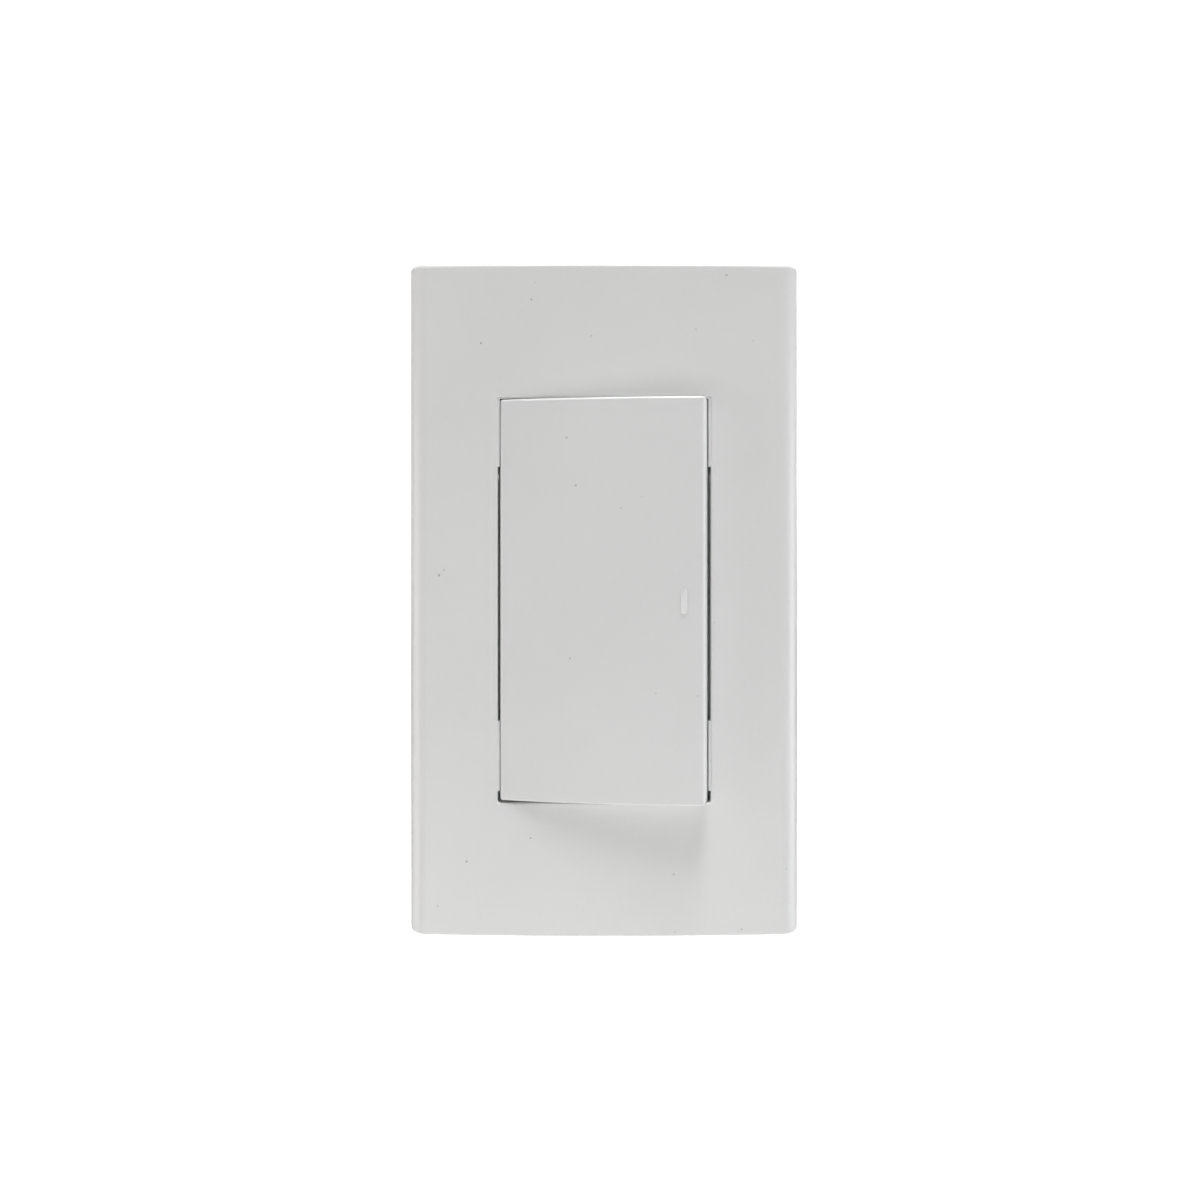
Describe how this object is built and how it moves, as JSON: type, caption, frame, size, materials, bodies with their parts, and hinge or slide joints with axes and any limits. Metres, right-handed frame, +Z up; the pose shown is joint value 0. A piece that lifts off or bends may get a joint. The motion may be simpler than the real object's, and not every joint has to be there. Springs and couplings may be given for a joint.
{
  "type": "wall switch with cover plate",
  "caption": "White wall plate with a full-height push handle, pilot lens, clip-on cover, steel strap and a push-in-terminal switch module behind it.",
  "frame": {"origin": "middle of the plate, on the surface of the wall", "axes": "+X to the right as seen from the room, +Y into the wall, +Z up"},
  "size_m": [0.07, 0.0397, 0.12],
  "materials": {
    "plate_white": "gloss moulded ABS",
    "handle_white": "gloss moulded ABS",
    "lens_white": "translucent white",
    "frame_white": "fine-textured moulding",
    "case_white": "satin urea moulding",
    "natural_resin": "waxy acetal",
    "lever_resin": "satin acetal",
    "zinc_steel": "zinc plated",
    "fibre_red": "pressed fibre",
    "spring_steel": "bright drawn",
    "rivet_nickel": "nickel plated",
    "contact_brass": "stamped brass",
    "contact_silver": "silver alloy",
    "clear_guide": "clear polycarbonate",
    "lamp_green": "tinted epoxy",
    "board_green": "lacquered laminate",
    "resistor_blue": "lacquered ceramic",
    "diode_glass": "glass bead"
  },
  "bodies": {
    "switch_base": {"plate_frame": "frame_white", "mounting_strap": "zinc_steel", "box_screws": "zinc_steel", "screw_retainers": "fibre_red", "plate_screws": "zinc_steel", "hinge_pin": "spring_steel", "return_springs": "spring_steel", "module_cover": "case_white", "module_base": "case_white", "case_rivets": "rivet_nickel", "cam_pin": "spring_steel", "fixed_contact": "contact_silver", "common_terminal": "contact_brass", "switched_terminal": "contact_brass", "common_lock_springs": "spring_steel", "switched_lock_springs": "spring_steel", "light_guide": "clear_guide", "indicator_lamp": "lamp_green", "lamp_board": "board_green", "lamp_resistor": "resistor_blue", "lamp_diode": "diode_glass", "lamp_leads": "zinc_steel"},
    "cover": {"cover_plate": "plate_white"},
    "handle": {"handle": "handle_white", "indicator_lens": "lens_white", "operating_plate": "natural_resin", "drive_spring": "spring_steel"},
    "toggle": {"toggle_cam": "natural_resin", "toggle_spring": "spring_steel"},
    "contact": {"contact_blade": "contact_brass", "moving_tip": "contact_silver"},
    "common_release": {"common_release_lever": "lever_resin"},
    "switched_release": {"switched_release_lever": "lever_resin"}
  },
  "joints": [
    {"name": "cover_lift", "type": "slide", "parent": "switch_base", "child": "cover", "axis": [0, -1, 0], "range_m": [0, 0.025]},
    {"name": "handle_press", "type": "hinge", "parent": "switch_base", "child": "handle", "pos_m": [-0.0162, -0.0026, 0], "axis": [0, 0, 1], "range_deg": [0, 3.6], "stiffness_Nm_per_rad": 1.2, "springref_deg": -1.72, "deforming": ["drive_spring", "return_springs"]},
    {"name": "toggle_flip", "type": "hinge", "parent": "switch_base", "child": "toggle", "pos_m": [0.006, 0.009, 0], "axis": [0, 0, -1], "range_deg": [0, 17], "deforming": ["toggle_spring"]},
    {"name": "contact_swing", "type": "hinge", "parent": "switch_base", "child": "contact", "pos_m": [0.006, 0.0205, 0], "axis": [0, 0, -1], "range_deg": [0, 10]},
    {"name": "common_release_push", "type": "slide", "parent": "switch_base", "child": "common_release", "axis": [0, -1, 0], "range_m": [0, 0.0016], "stiffness_N_per_m": 900, "springref_m": -0.0008, "deforming": ["common_lock_springs"]},
    {"name": "switched_release_push", "type": "slide", "parent": "switch_base", "child": "switched_release", "axis": [0, -1, 0], "range_m": [0, 0.0016], "stiffness_N_per_m": 900, "springref_m": -0.0008, "deforming": ["switched_lock_springs"]}
  ],
  "couplings": [
    {"joint": "contact_swing", "follows": "toggle_flip", "ratio": 0.58823}
  ]
}
